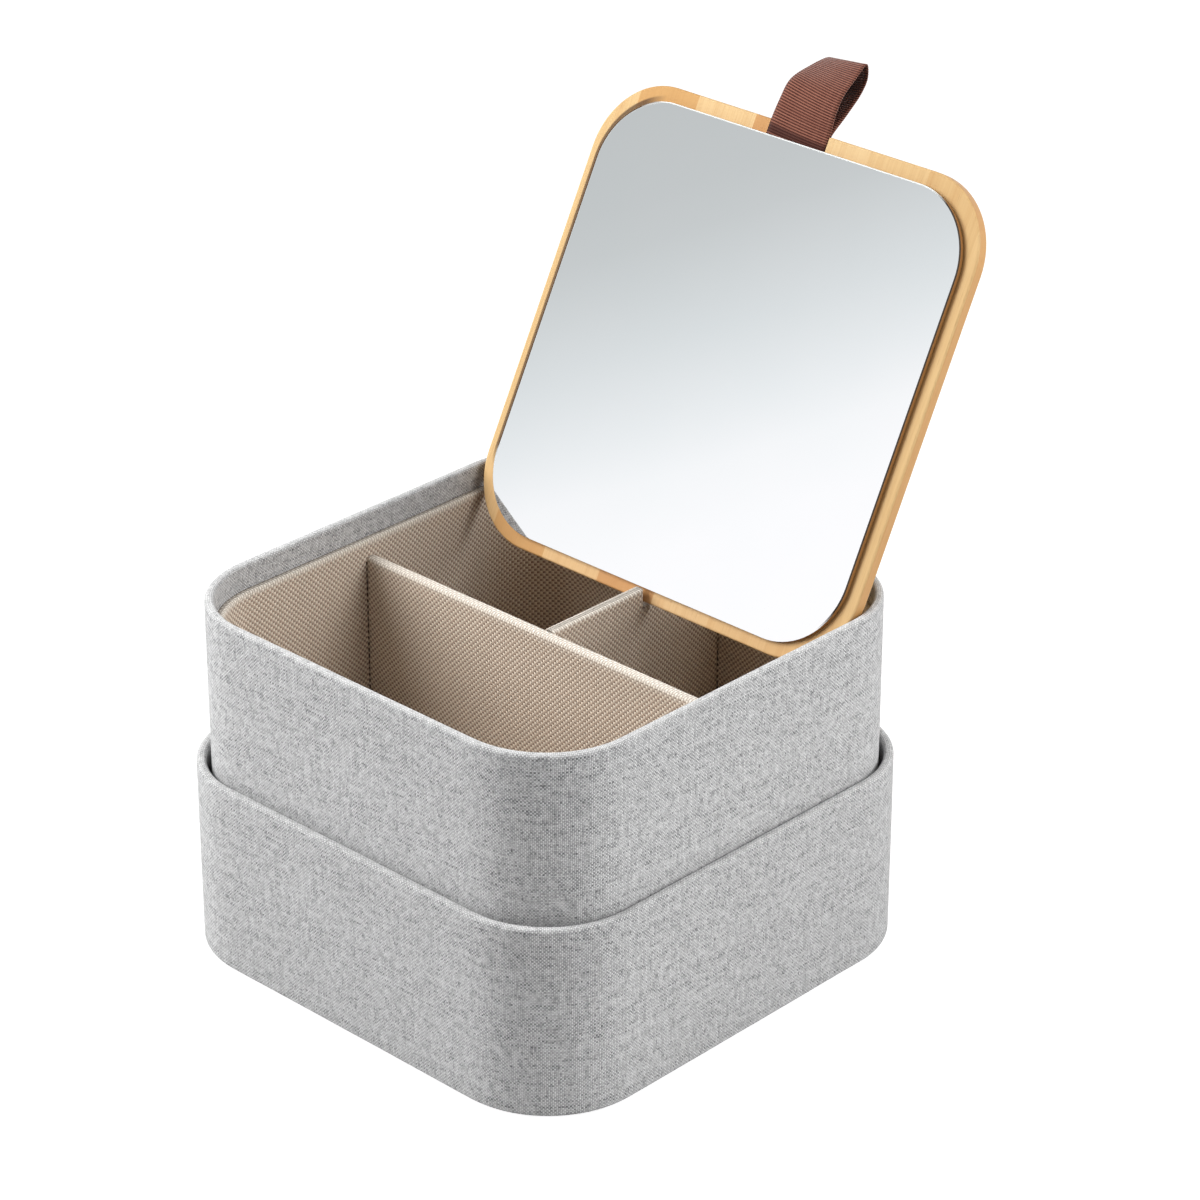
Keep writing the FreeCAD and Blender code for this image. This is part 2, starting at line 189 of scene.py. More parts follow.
def makeGreyCloth():
    material, tree, shader = newMaterial("greyMelangeCloth")
    weave = weaveParts(tree)
    # every thread has its own tone, and darker and lighter fibres come and go along it
    warpTone = dice(tree, weave["column"], 3.0)
    weftTone = dice(tree, weave["row"], 11.0)
    warpFleck = spread(tree, threadRun(tree, weave["column"], weave["v"], 0.2), 0.53, 0.72, 0.0, 0.58)
    weftFleck = spread(tree, threadRun(tree, weave["row"], weave["u"], 0.13), 0.46, 0.66, 0.0, 0.74)
    warpColour = blendColour(tree, warpFleck, greyCloth["warp"], greyCloth["fleck"])
    weftColour = blendColour(tree, weftFleck, greyCloth["weft"], greyCloth["fleck"])
    warpColour = blendColour(tree, calc(tree, "MULTIPLY", warpTone, 0.35), warpColour, greyCloth["weft"])
    weftColour = blendColour(tree, calc(tree, "MULTIPLY", weftTone, 0.4), weftColour, greyCloth["warp"])
    colour = blendColour(tree, weave["over"], warpColour, weftColour)
    # painted shade: the hollows between the threads are coloured towards the dark gap colour
    weaveShade = spread(tree, weave["height"], 0.1, 0.6, 0.78, 0.0)
    colour = blendColour(tree, weaveShade, colour, greyCloth["gap"])
    # wool blended unevenly: lighter and darker patches a few threads across, and a few dark specks
    place = joinVector(tree, weave["u"], weave["v"])
    patch = grainNoise(tree, place, 0.24, 3.0, 0.6, "2D")
    colour = blendColour(tree, spread(tree, patch, 0.5, 0.75, 0.0, 0.22), colour, greyCloth["fleck"])
    colour = blendColour(tree, spread(tree, patch, 0.5, 0.28, 0.0, 0.22), colour, greyCloth["crown"])
    speck = grainNoise(tree, place, 0.55, 0.0, 0.5, "2D")
    colour = blendColour(tree, spread(tree, speck, 0.78, 0.84, 0.0, 0.6), colour, greyCloth["fleck"])
    # painted highlight: on the folded rim the raised threads are lightened towards the crown colour
    fibreToneAndRimHighlight = calc(tree, "MULTIPLY", weave["fold"], spread(tree, weave["height"], 0.3, 0.8, 0.0, 0.3))
    colour = blendColour(tree, fibreToneAndRimHighlight, colour, greyCloth["crown"])
    fuzz = grainNoise(tree, place, 2.4, 4.0, 0.7, "2D")
    height = calc(tree, "MULTIPLY_ADD", fuzz, 0.35, weave["height"])
    rough = spread(tree, weave["height"], 0.0, 1.0, 0.98, 0.82)
    setShader(tree, shader, Base_Color=colour, Roughness=rough, Specular_IOR_Level=0.2,
              Sheen_Weight=0.2, Sheen_Roughness=0.5)
    addBump(tree, shader, height, greyCloth["depth"])
    return material


lining = {
    "warp": paint(222, 208, 191),
    "warpDark": paint(206, 190, 171),
    "warpLight": paint(238, 229, 215),
    "weft": paint(158, 139, 124),
    "gap": paint(128, 110, 95),
    "cream": paint(238, 231, 219),
    "depth": 0.24 * mm,
}


def makeLining():
    material, tree, shader = newMaterial("taupeWovenLining")
    weave = weaveParts(tree)
    warpTone = dice(tree, weave["column"], 5.0)
    run = threadRun(tree, weave["column"], weave["v"], 0.35)
    warpColour = blendColour(tree, calc(tree, "MULTIPLY", warpTone, 0.22), lining["warp"], lining["warpDark"])
    warpColour = blendColour(tree, spread(tree, run, 0.45, 0.8, 0.0, 0.35), warpColour, lining["warpLight"])
    # brown filling threads show as rows of dark dots between the pale ones
    raised = spread(tree, weave["height"], 0.1, 0.75, 0.35, 1.0, "SMOOTHSTEP")
    dot = calc(tree, "MULTIPLY", weave["over"], raised)
    colour = blendColour(tree, dot, warpColour, lining["weft"])
    # painted shade: the hollows between the threads are coloured towards the dark gap colour
    weaveShade = spread(tree, weave["height"], 0.05, 0.4, 0.6, 0.0)
    colour = blendColour(tree, weaveShade, colour, lining["gap"])
    # over a fold the pale threads lie side by side, as ribs across it
    rib = spread(tree, weave["across"], 0.1, 0.8, 0.75, 0.0)
    foldColour = blendColour(tree, rib, lining["cream"], lining["weft"])
    foldColour = blendColour(tree, calc(tree, "MULTIPLY", dot, 0.3), foldColour, lining["weft"])
    colour = blendColour(tree, weave["fold"], colour, foldColour)
    sunk = calc(tree, "MULTIPLY", weave["over"], calc(tree, "SUBTRACT", 1.0, weave["fold"]))
    height = calc(tree, "MULTIPLY_ADD", sunk, -0.35, weave["height"])
    rough = spread(tree, weave["height"], 0.0, 1.0, 0.95, 0.78)
    setShader(tree, shader, Base_Color=colour, Roughness=rough, Specular_IOR_Level=0.25,
              Sheen_Weight=0.12, Sheen_Roughness=0.4)
    addBump(tree, shader, height, lining["depth"])
    return material


board = {"grey": paint(128, 124, 118), "fibre": paint(96, 92, 87), "pale": paint(160, 156, 149)}


def makeBoard(name, colours, scale):
    material, tree, shader = newMaterial(name)
    place = addNode(tree, "TexCoord").outputs["Object"]
    fibre = grainNoise(tree, place, scale, 6.0, 0.7)
    cloud = grainNoise(tree, place, scale * 0.06, 3.0, 0.5)
    colour = blendColour(tree, spread(tree, fibre, 0.35, 0.7, 0.0, 0.8), colours["grey"], colours["fibre"])
    colour = blendColour(tree, spread(tree, cloud, 0.4, 0.7, 0.0, 0.5), colour, colours["pale"])
    setShader(tree, shader, Base_Color=colour, Roughness=0.9, Specular_IOR_Level=0.2)
    addBump(tree, shader, fibre, 0.08 * mm)
    return material


underSheet = {"grey": paint(74, 73, 72), "fibre": paint(52, 51, 50), "pale": paint(88, 87, 85)}
adhesive = {"grey": paint(226, 222, 210), "fibre": paint(206, 200, 186), "pale": paint(238, 235, 226)}

# the lid's own axes are across it, up it from the foot, and out of its face
lid = {
    "lean": math.radians(28.0), "foot": (44.4, 104.6657), "length": 161.8, "hinge": (162.4, -0.4),
    "mirrorHalf": (77.5, 76.05), "mirrorMiddle": 80.55, "mirrorCorner": 25.0,
    "leftEdge": (-66.0, -58.0), "aboveFoot": (22.0, 30.0),
}


def lidPlace(tree, source="Object"):
    mapping = addNode(tree, "Mapping")
    tree.links.new(addNode(tree, "TexCoord").outputs[source], mapping.inputs["Vector"])
    mapping.inputs["Rotation"].default_value = (lid["lean"] - math.pi / 2, 0.0, 0.0)
    if source == "Object":
        y, z = (size * mm for size in lid["foot"])
        sine, cosine = math.sin(lid["lean"]), math.cos(lid["lean"])
        mapping.inputs["Location"].default_value = (0.0, -y * sine - z * cosine, y * cosine - z * sine)
    return splitVector(tree, mapping.outputs[0])


# how far outside the mirror's outline a spot on the lid is, in mm
def mirrorGap(tree, u, v):
    halfU, halfV = (half - lid["mirrorCorner"] for half in lid["mirrorHalf"])
    up = calc(tree, "SUBTRACT", v, lid["mirrorMiddle"] * mm)
    overU = calc(tree, "SUBTRACT", calc(tree, "ABSOLUTE", u), halfU * mm)
    overV = calc(tree, "SUBTRACT", calc(tree, "ABSOLUTE", up), halfV * mm)
    corner = joinVector(tree, calc(tree, "MAXIMUM", overU, 0.0), calc(tree, "MAXIMUM", overV, 0.0))
    away = addNode(tree, "VectorMath", corner, operation="LENGTH").outputs["Value"]
    inside = calc(tree, "MINIMUM", calc(tree, "MAXIMUM", overU, overV), 0.0)
    gap = calc(tree, "SUBTRACT", calc(tree, "ADD", away, inside), lid["mirrorCorner"] * mm)
    return calc(tree, "DIVIDE", gap, mm)


# full beside the mirror's left edge, and nothing near its foot or further right
def alongLeftEdge(tree, u, v):
    outer, inner = (size * mm for size in lid["leftEdge"])
    low, high = (size * mm for size in lid["aboveFoot"])
    return calc(tree, "MULTIPLY", spread(tree, u, outer, inner, 1.0, 0.0),
                spread(tree, v, low, high, 0.0, 1.0))


# staves run up the lid, each about 25 mm wide and of its own tone
bamboo = {
    "halfWidth": 82.4,
    "staveEdges": (-69.7, -45.1, -20.5, 4.1, 28.7, 53.3, 77.9),
    "staves": (
        paint(209, 176, 125), paint(194, 150, 95), paint(213, 181, 132), paint(189, 141, 91),
        paint(213, 182, 134), paint(209, 176, 126), paint(204, 169, 118), paint(209, 175, 124),
    ),
    "fibre": paint(178, 128, 74),
    "pore": paint(150, 100, 54),
    "side": paint(168, 120, 68),
    "foot": paint(222, 168, 122),
    "shade": paint(150, 104, 58),
    "shadowLine": paint(74, 50, 32),
}


def makeBamboo():
    material, tree, shader = newMaterial("bambooStaves")
    u, v, n = lidPlace(tree)
    width = bamboo["halfWidth"]
    ramp = addNode(tree, "ValToRGB", spread(tree, u, -width * mm, width * mm, 0.0, 1.0))
    ramp.color_ramp.interpolation = "CONSTANT"
    stops = [0.0] + [(edge + width) / (2 * width) for edge in bamboo["staveEdges"]]
    fillRamp(ramp, list(zip(stops, bamboo["staves"])))

    # noise drawn out along the stave
    def streaks(across, along, out, detail, rough):
        spot = joinVector(tree, calc(tree, "MULTIPLY", u, across), calc(tree, "MULTIPLY", v, along),
                          calc(tree, "MULTIPLY", n, out))
        return grainNoise(tree, spot, 1.0, detail, rough)

    fibre = streaks(1500.0, 26.0, 900.0, 4.0, 0.6)
    band = streaks(190.0, 7.0, 190.0, 2.0, 0.5)
    pore = streaks(2600.0, 130.0, 1500.0, 2.0, 0.5)
    colour = blendColour(tree, spread(tree, fibre, 0.45, 0.75, 0.0, 0.32), ramp.outputs[0], bamboo["fibre"])
    colour = blendColour(tree, spread(tree, band, 0.48, 0.7, 0.0, 0.28), colour, bamboo["fibre"])
    colour = blendColour(tree, spread(tree, pore, 0.64, 0.78, 0.0, 0.45), colour, bamboo["pore"])
    # the foot is redder, the edge faces are darker, and painted shadows lie beside the glass on the front: a
    # dark line along its left edge and softer shade at its right
    colour = blendColour(tree, spread(tree, v, 0.0, 0.03, 0.2, 0.0), colour, bamboo["foot"])
    facing = lidPlace(tree, "Normal")[2]
    edgeFaces = spread(tree, calc(tree, "ABSOLUTE", facing), 0.2, 0.75, 0.75, 0.0)
    colour = blendColour(tree, edgeFaces, colour, bamboo["side"])
    gap = mirrorGap(tree, u, v)
    front = spread(tree, facing, -0.3, 0.0, 0.0, 1.0)
    # painted shadow: a dark line on the bamboo along the glass's left edge
    leftLine = calc(tree, "MULTIPLY", alongLeftEdge(tree, u, v), spread(tree, gap, 2.0, 2.5, 0.85, 0.0))
    rightSide = spread(tree, u, 60.0 * mm, 74.0 * mm, 0.0, 1.0)
    # painted shadow: softer shade on the bamboo beside the glass's right edge
    rightLine = calc(tree, "MULTIPLY", rightSide, spread(tree, gap, 0.1, 1.8, 0.55, 0.0))
    colour = blendColour(tree, calc(tree, "MULTIPLY", leftLine, front), colour, bamboo["shadowLine"])
    colour = blendColour(tree, calc(tree, "MULTIPLY", rightLine, front), colour, bamboo["shade"])
    height = calc(tree, "MULTIPLY_ADD", pore, -0.5, fibre)
    rough = spread(tree, fibre, 0.3, 0.7, 0.38, 0.5)
    setShader(tree, shader, Base_Color=colour, Roughness=rough, Specular_IOR_Level=0.4,
              Coat_Weight=0.12, Coat_Roughness=0.35)
    addBump(tree, shader, height, 0.03 * mm)
    return material


mirror = {
    "silver": paint(254, 254, 254), "cast": paint(252, 253, 253),
    "leftEdge": paint(72, 50, 34), "rightEdge": paint(64, 54, 45), "endEdge": paint(226, 229, 228),
    "side": paint(148, 106, 64),
}


def makeMirror():
    material, tree, shader = newMaterial("mirrorGlass")
    across, up, facing = lidPlace(tree, "Normal")
    silvered = spread(tree, facing, 0.85, 0.95, 0.0, 1.0)
    haze = grainNoise(tree, addNode(tree, "TexCoord").outputs["Object"], 22.0, 3.0, 0.5)
    tint = blendColour(tree, spread(tree, haze, 0.35, 0.7, 0.0, 1.0), mirror["silver"], mirror["cast"])
    # the ground edge is painted with what it reflects: the bamboo beside it at the left and right, pale at
    # the two ends, and golden brown bamboo on the glass's side faces
    overFoot = spread(tree, up, -0.4, -0.2, 0.0, 1.0)
    left = calc(tree, "MULTIPLY", spread(tree, across, -0.35, -0.15, 1.0, 0.0), overFoot)
    edge = blendColour(tree, left, mirror["endEdge"], mirror["leftEdge"])
    edge = blendColour(tree, spread(tree, across, 0.15, 0.35, 0.0, 1.0), edge, mirror["rightEdge"])
    edge = blendColour(tree, spread(tree, facing, 0.3, 0.5, 1.0, 0.0), edge, mirror["side"])
    # painted reflection: the face is painted dark along its left edge and loses its silver there, where the
    # glass looks dark
    u, v, _ = lidPlace(tree)
    rimZone = spread(tree, mirrorGap(tree, u, v), -0.95, -0.7, 0.0, 1.0)
    ends = calc(tree, "MULTIPLY", rimZone, alongLeftEdge(tree, u, v))
    edge = blendColour(tree, ends, edge, mirror["leftEdge"])
    silvered = calc(tree, "MULTIPLY", silvered, calc(tree, "SUBTRACT", 1.0, ends))
    # the foot arris is polished flush, so it reflects as the face does
    foot = calc(tree, "MULTIPLY", spread(tree, up, -0.45, -0.25, 1.0, 0.0),
                spread(tree, facing, 0.3, 0.5, 0.0, 1.0))
    outward = addNode(tree, "VectorTransform", (0.0, -math.cos(lid["lean"]), math.sin(lid["lean"])),
                      vector_type="NORMAL", convert_from="OBJECT", convert_to="WORLD").outputs[0]
    normal = addNode(tree, "Mix", data_type="VECTOR")
    for index, value in ((0, foot), (4, addNode(tree, "NewGeometry").outputs["Normal"]), (5, outward)):
        tree.links.new(value, normal.inputs[index])
    silvered = calc(tree, "MAXIMUM", silvered, foot)
    colour = blendColour(tree, silvered, edge, tint)
    setShader(tree, shader, Base_Color=colour, Metallic=silvered, Normal=normal.outputs[1],
              Roughness=spread(tree, haze, 0.3, 0.7, 0.012, 0.022), Specular_IOR_Level=0.3)
    return material


ribbonCloth = {
    "rib": paint(117, 71, 58), "lit": paint(156, 106, 89), "groove": paint(48, 24, 20),
    "dull": paint(91, 52, 43), "crease": paint(54, 30, 27), "creaseRibs": (15.0, 16.0, 18.2, 19.8),
}


def makeRibbonCloth():
    material, tree, shader = newMaterial("brownGrosgrain")
    uv = addNode(tree, "UVMap", uv_map="threads").outputs[0]
    across, along, _ = splitVector(tree, uv)  # across in fine warp ends, along in ribs
    crest = calc(tree, "SINE", calc(tree, "MULTIPLY", calc(tree, "FRACT", along), math.pi))
    end = calc(tree, "SINE", calc(tree, "MULTIPLY", calc(tree, "FRACT", across), math.pi))
    tone = dice(tree, calc(tree, "FLOOR", across), 2.0)
    ribTone = dice(tree, calc(tree, "FLOOR", along), 9.0)
    # painted shade and highlight: the grooves between the ribs are coloured dark and the rib crests lighter
    raised = spread(tree, crest, 0.3, 0.85, 0.0, 1.0)
    colour = blendColour(tree, raised, ribbonCloth["groove"], ribbonCloth["rib"])
    colour = blendColour(tree, spread(tree, crest, 0.8, 1.0, 0.0, 0.7), colour, ribbonCloth["lit"])
    colour = blendColour(tree, calc(tree, "MULTIPLY", tone, 0.12), colour, ribbonCloth["lit"])
    colour = blendColour(tree, calc(tree, "MULTIPLY", ribTone, 0.3), colour, ribbonCloth["dull"])
    # painted shade: the ribbon is darkened over a few ribs where it comes out from under the glass
    first, full, fading, last = ribbonCloth["creaseRibs"]
    shadedRibs = calc(tree, "MULTIPLY", spread(tree, along, first, full, 0.0, 0.8),
                   spread(tree, along, fading, last, 1.0, 0.0))
    colour = blendColour(tree, shadedRibs, colour, ribbonCloth["crease"])
    height = calc(tree, "MULTIPLY_ADD", end, 0.4, crest)
    setShader(tree, shader, Base_Color=colour, Roughness=spread(tree, crest, 0.0, 1.0, 0.85, 0.6),
              Specular_IOR_Level=0.3, Sheen_Weight=0.2, Sheen_Roughness=0.4)
    addBump(tree, shader, height, 0.05 * mm)
    return material


cornerDotColours = {"dark": paint(46, 37, 31), "pale": paint(78, 64, 54)}


def makeCornerDotFinish():
    material, tree, shader = newMaterial("darkCornerDots")
    place = addNode(tree, "TexCoord").outputs["Object"]
    fibre = grainNoise(tree, place, 4200.0, 3.0, 0.6)
    fibreToneAndRimHighlight = spread(tree, fibre, 0.35, 0.65, 0.0, 1.0)
    colour = blendColour(tree, fibreToneAndRimHighlight, cornerDotColours["dark"], cornerDotColours["pale"])
    setShader(tree, shader, Base_Color=colour, Roughness=0.8, Specular_IOR_Level=0.25)
    addBump(tree, shader, fibre, 0.05 * mm)
    return material


greyClothMaterial = makeGreyCloth()
liningMaterial = makeLining()
ribbonMaterial = makeRibbonCloth()
cornerDotMaterial = makeCornerDotFinish()
print("materials made")

cadFinishes = {
    makeBoard("greyBoard", board, 900.0): ("wall_board", "base_board", "liner_board", "floor_card",
                                           "divider_board"),
    makeBoard("darkBaseSheet", underSheet, 1400.0): ("base_sheet",),
    makeBoard("whiteAdhesive", adhesive, 600.0): ("mirror_bed",),
    makeBamboo(): ("lid_panel",),
    makeMirror(): ("mirror_glass",),
}
for finish, endings in cadFinishes.items():
    for nodeName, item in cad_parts.items():
        if nodeName.endswith(endings):
            for slot in item.material_slots:
                slot.material = finish
print("finishes put on the frame's own solids")


# a line through given corners, each rounded to its own radius, with straight runs cut into even steps
def roundedPath(corners, radii, step, turnStep=math.radians(15)):
    corners = [np.array(corner, float) for corner in corners]
    path = [corners[0]]

    def runTo(target):
        gap = np.linalg.norm(target - path[-1])
        count = max(1, math.ceil(gap / step - 1e-6))
        start = path[-1]
        if gap > 1e-9:
            path.extend(start + (target - start) * k / count for k in range(1, count + 1))

    for before, here, after, radius in zip(corners, corners[1:], corners[2:], radii):
        back = (before - here) / np.linalg.norm(before - here)
        onward = (after - here) / np.linalg.norm(after - here)
        half = math.acos(np.clip(back @ onward, -1, 1)) / 2
        setBack = radius / math.tan(half)
        middle = (back + onward) / np.linalg.norm(back + onward)
        centre = here + middle * radius / math.sin(half)
        sweep = math.pi - 2 * half
        first, last = here + back * setBack - centre, here + onward * setBack - centre
        runTo(centre + first)
        count = max(2, round(sweep / turnStep))
        for k in range(1, count + 1):
            share = k / count
            part = math.sin((1 - share) * sweep) * first + math.sin(share * sweep) * last
            path.append(centre + part / math.sin(sweep))
    runTo(corners[-1])
    return np.array(path)


def pathLengths(path):
    return np.concatenate(([0.0], np.cumsum(np.linalg.norm(np.diff(path, axis=0), axis=1))))


# unit vectors square to a flat path, on its left
def sideways(path):
    tangent = np.gradient(path, axis=0)
    tangent /= np.linalg.norm(tangent, axis=1)[:, None]
    return np.stack((-tangent[:, 1], tangent[:, 0]), -1)


def addPiece(name, mesh, material):
    mesh.materials.append(material)
    piece = bpy.data.objects.new(name, mesh)
    bpy.context.scene.collection.objects.link(piece)
    return piece


# an editable shape drawn in mm becomes a piece in metres
def pieceFrom(name, shape, material):
    for face in shape.faces:
        face.smooth = True
    bmesh.ops.scale(shape, verts=shape.verts, vec=(mm, mm, mm))
    mesh = bpy.data.meshes.new(name)
    shape.to_mesh(mesh)
    shape.free()
    return addPiece(name, mesh, material)


# quads over a grid of points (columns, rows, xyz in mm), with thread counts as its UVs
def gridPiece(name, points, us, vs, closed, material, fold=None):
    columns, rows = points.shape[:2]
    index = np.arange(columns * rows).reshape(columns, rows)
    ahead = np.roll(index, -1, axis=0) if closed else index[1:]
    here = index if closed else index[:-1]
    quads = np.stack((here[:, :-1], ahead[:, :-1], ahead[:, 1:], here[:, 1:]), axis=-1).reshape(-1, 4)
    mesh = bpy.data.meshes.new(name)
    mesh.from_pydata((points.reshape(-1, 3) * mm).tolist(), [], quads.tolist())
    spots = np.stack(np.meshgrid(us, vs, indexing="ij"), -1)
    uvs = np.stack((spots[:-1, :-1], spots[1:, :-1], spots[1:, 1:], spots[:-1, 1:]), 2)
    layer = mesh.uv_layers.new(name="threads")
    layer.uv.foreach_set("vector", uvs.astype(np.float32).ravel())
    if fold is not None:
        mark = mesh.attributes.new("fold", "FLOAT", "POINT")
        mark.data.foreach_set("value", np.broadcast_to(fold, (columns, rows)).astype(np.float32).ravel())
    mesh.polygons.foreach_set("use_smooth", [True] * len(mesh.polygons))
    return addPiece(name, mesh, material)


# puts the modifiers' result into the mesh itself
def settle(piece):
    graph = bpy.context.evaluated_depsgraph_get()
    graph.update()
    done = bpy.data.meshes.new_from_object(piece.evaluated_get(graph))
    piece.modifiers.clear()
    piece.data = done
    done.name = piece.name
    return piece


def thicken(piece, thickness):
    solid = piece.modifiers.new("thickness", "SOLIDIFY")
    solid.thickness = thickness * mm
    solid.offset = -1.0
    solid.use_even_offset = True
    return settle(piece)


def easeStep(low, high, value):
    share = np.clip((value - low) / (high - low), 0, 1)
    return share * share * (3 - 2 * share)


# columns round a rounded square: where each stands, which way it faces and how far round it is
def trayColumns(half, corner, sideStep, cornerCount, faceInset):
    flat = half - corner
    sideCount = round(2 * flat / sideStep)
    anchors, normals, lengths, bends = [], [], [0.0], []
    for turn in (1, 2, 3, 0):
        angle = turn * math.pi / 2
        facing = np.array((math.cos(angle), math.sin(angle)))
        onward = np.array((-math.sin(angle), math.cos(angle)))
        for k in range(sideCount):
            anchors.append(facing * flat + onward * (2 * flat * k / sideCount - flat))
            normals.append(facing)
            lengths.append(lengths[-1] + 2 * flat / sideCount)
            bends.append(0.0)
        for k in range(cornerCount):
            share = k / cornerCount
            swing = angle + math.pi / 2 * share
            anchors.append((facing + onward) * flat)
            normals.append(np.array((math.cos(swing), math.sin(swing))))
            lengths.append(lengths[-1] + (corner - faceInset) * math.pi / 2 / cornerCount)
            bends.append(math.sin(math.pi * share) ** 0.5)
    return np.array(anchors), np.array(normals), np.array(lengths), np.array(bends)


# slow unevenness of stretched cloth, in mm
def cloudy(s, t, seed):
    return (np.sin(s / 17.0 + t / 23.0 + seed) + 0.7 * np.sin(s / 7.3 - t / 11.0 + 2.1 * seed)
            + 0.5 * np.sin(s / 3.9 + t / 6.1 + 3.7 * seed)) / 2.2


# sweeps a profile of (inset, height) round a tray
def sweptCloth(name, tray, path, faceInset, cut, material, foldAt):
    anchors, normals, lengths, bends = trayColumns(tray["half"], tray["corner"], cut["sideStep"],
                                                   cut["cornerCount"], faceInset)
    run = pathLengths(path)
    threads = 2 * round(lengths[-1] / cut["thread"] / 2)
    us = lengths / lengths[-1] * threads
    vs = run / cut["thread"]
    outward = sideways(path)
    ripple = cut["wave"] * cloudy(lengths[:-1, None], run[None, :], tray["seed"])
    inset = path[None, :, 0] + outward[None, :, 0] * ripple
    height = path[None, :, 1] + outward[None, :, 1] * ripple
    if "tuckDepth" in cut:
        # the turned hem gathers into small tucks at the corners
        under = easeStep(2.0, 9.0, path[:, 0]) * (path[:, 1] < tray["base"] + 0.01)
        drift = 0.9 * np.sin(lengths[:-1] / 9.0)
        tuck = 0.5 - 0.5 * np.cos(lengths[:-1] / cut["tuckPitch"] * math.tau + drift)
        height = height + cut["tuckDepth"] * (bends * tuck)[:, None] * under[None, :]
    reach = tray["corner"] - inset
    points = np.stack((anchors[:, None, 0] + normals[:, None, 0] * reach,
                       anchors[:, None, 1] + normals[:, None, 1] * reach, height), -1)
    far = cut["foldReach"]
    fold = np.max([1.0 - easeStep(far * 0.5, far, np.abs(run - run[row])) for row in foldAt], axis=0)
    piece = gridPiece(name, points, us, vs, True, material, fold[None, :])
    return thicken(piece, cut["thickness"]), lengths[-1], run[-1]


def trayFrom(coverNode, liningNode, corner, seed):
    low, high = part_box(coverNode)
    return {"half": high.x / mm, "base": low.z / mm, "rim": high.z / mm,
            "ledge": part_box(liningNode)[1].z / mm, "corner": corner, "seed": seed}


trays = {
    "lower": trayFrom("lower_cover_cloth", "lower_lining_cloth", 35.0, 0.4),
    "upper": trayFrom("upper_cover_cloth", "upper_lining_cloth", 33.4, 2.9),
}


def nearest(path, spot):
    return int(np.argmin(np.linalg.norm(path - np.array(spot), axis=1)))


coverCut = {
    "hem": 14.0, "turnedIn": 23.8, "wall": 3.2, "rimRound": 1.3, "step": 3.0, "sideStep": 2.0,
    "cornerCount": 36, "thread": 0.6, "thickness": 0.5, "wave": 0.05, "foldReach": 1.9, "tuckPitch": 4.6,
    "tuckDepth": 0.35,
}


def makeCover(level):
    tray, cut = trays[level], coverCut
    corners = ((cut["hem"], tray["base"]), (0.0, tray["base"]), (0.0, tray["rim"]),
               (cut["wall"], tray["rim"]), (cut["wall"], tray["rim"] - cut["turnedIn"]))
    path = roundedPath(corners, (cut["rimRound"],) * 3, cut["step"])
    crown = nearest(path, (cut["wall"] / 2, tray["rim"]))
    name = level + "CoverCloth"
    piece, around, along = sweptCloth(name, tray, path, 0.0, cut, greyClothMaterial, (crown,))
    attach(piece, level + "_tier")
    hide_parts(level + "_cover_cloth")


liningCut = {
    "wallInset": 3.2, "faceInset": 5.6, "foot": 2.7, "ledgeRound": 0.9, "step": 1.5, "sideStep": 2.0,
    "cornerCount": 36, "thread": 1.0, "thickness": 0.5, "wave": 0.04, "foldReach": 2.3,
}


def makeLiningBand(level):
    tray, cut = trays[level], liningCut
    corners = ((cut["wallInset"], tray["ledge"]), (cut["faceInset"], tray["ledge"]),
               (cut["faceInset"], tray["base"] + cut["foot"]))
    path = roundedPath(corners, (cut["ledgeRound"],), cut["step"])
    crown = nearest(path, (cut["faceInset"], tray["ledge"]))
    name = level + "LiningCloth"
    piece, around, along = sweptCloth(name, tray, path, cut["faceInset"], cut, liningMaterial,
                                      (crown - 2, crown))
    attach(piece, level + "_tier")
    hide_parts(level + "_lining_cloth")


floorCut = {
    "inset": 5.9, "edgeRound": 0.25, "clear": 0.05, "sideStep": 3.0, "cornerCount": 20, "rings": 14,
    "thread": 1.0, "wave": 0.03,
}


# the loose floor card's cloth: a flat rounded square with its edges turned down
def makeFloorCloth(level):
    tray, cut = trays[level], floorCut
    low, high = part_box(level + "_floor_lining")
    bottom, top = low.z / mm + cut["clear"], high.z / mm
    anchors, normals, lengths, _ = trayColumns(tray["half"], tray["corner"], cut["sideStep"],
                                               cut["cornerCount"], cut["inset"])
    edge = anchors + normals * (tray["corner"] - cut["inset"])
    rings = [(1.0, bottom), (1.0, top - cut["edgeRound"]), (1.0 - cut["edgeRound"] / tray["half"], top)]
    rings += [(share, top) for share in np.linspace(0.98, 0.02, cut["rings"])]
    points = np.stack([np.column_stack((edge * share, np.full(len(edge), height)))
                       for share, height in rings], 1)
    flat = points[:, 3:]
    flat[:, :, 2] += cut["wave"] * cloudy(flat[:, :, 0] * 2, flat[:, :, 1] * 2, tray["seed"])
    name = level + "FloorCloth"
    noFold = np.zeros((1, len(rings)))
    piece = gridPiece(name, points, lengths, np.arange(len(rings)), True, liningMaterial, noFold)
    shape = bmesh.new()
    shape.from_mesh(piece.data)
    rims = [e for e in shape.edges if e.is_boundary]
    bmesh.ops.holes_fill(shape, edges=rims, sides=0)
    layer = shape.loops.layers.uv["threads"]
    for face in shape.faces:
        for loop in face.loops:
            loop[layer].uv = (loop.vert.co.x / mm / cut["thread"], loop.vert.co.y / mm / cut["thread"])
    bmesh.ops.recalc_face_normals(shape, faces=shape.faces)
    shape.to_mesh(piece.data)
    shape.free()
    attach(piece, level + "_tier")
    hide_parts(level + "_floor_lining")


for level in trays:
    makeCover(level)
    makeLiningBand(level)
    makeFloorCloth(level)
print("trays dressed:", ", ".join(trays))

divider = {
    "half": 2.0, "topRound": 1.25, "thread": 1.0, "thickness": 0.5, "step": 1.2, "upStep": 2.0,
    "foldReach": 2.1, "wave": 0.06, "seed": 1.3,
}


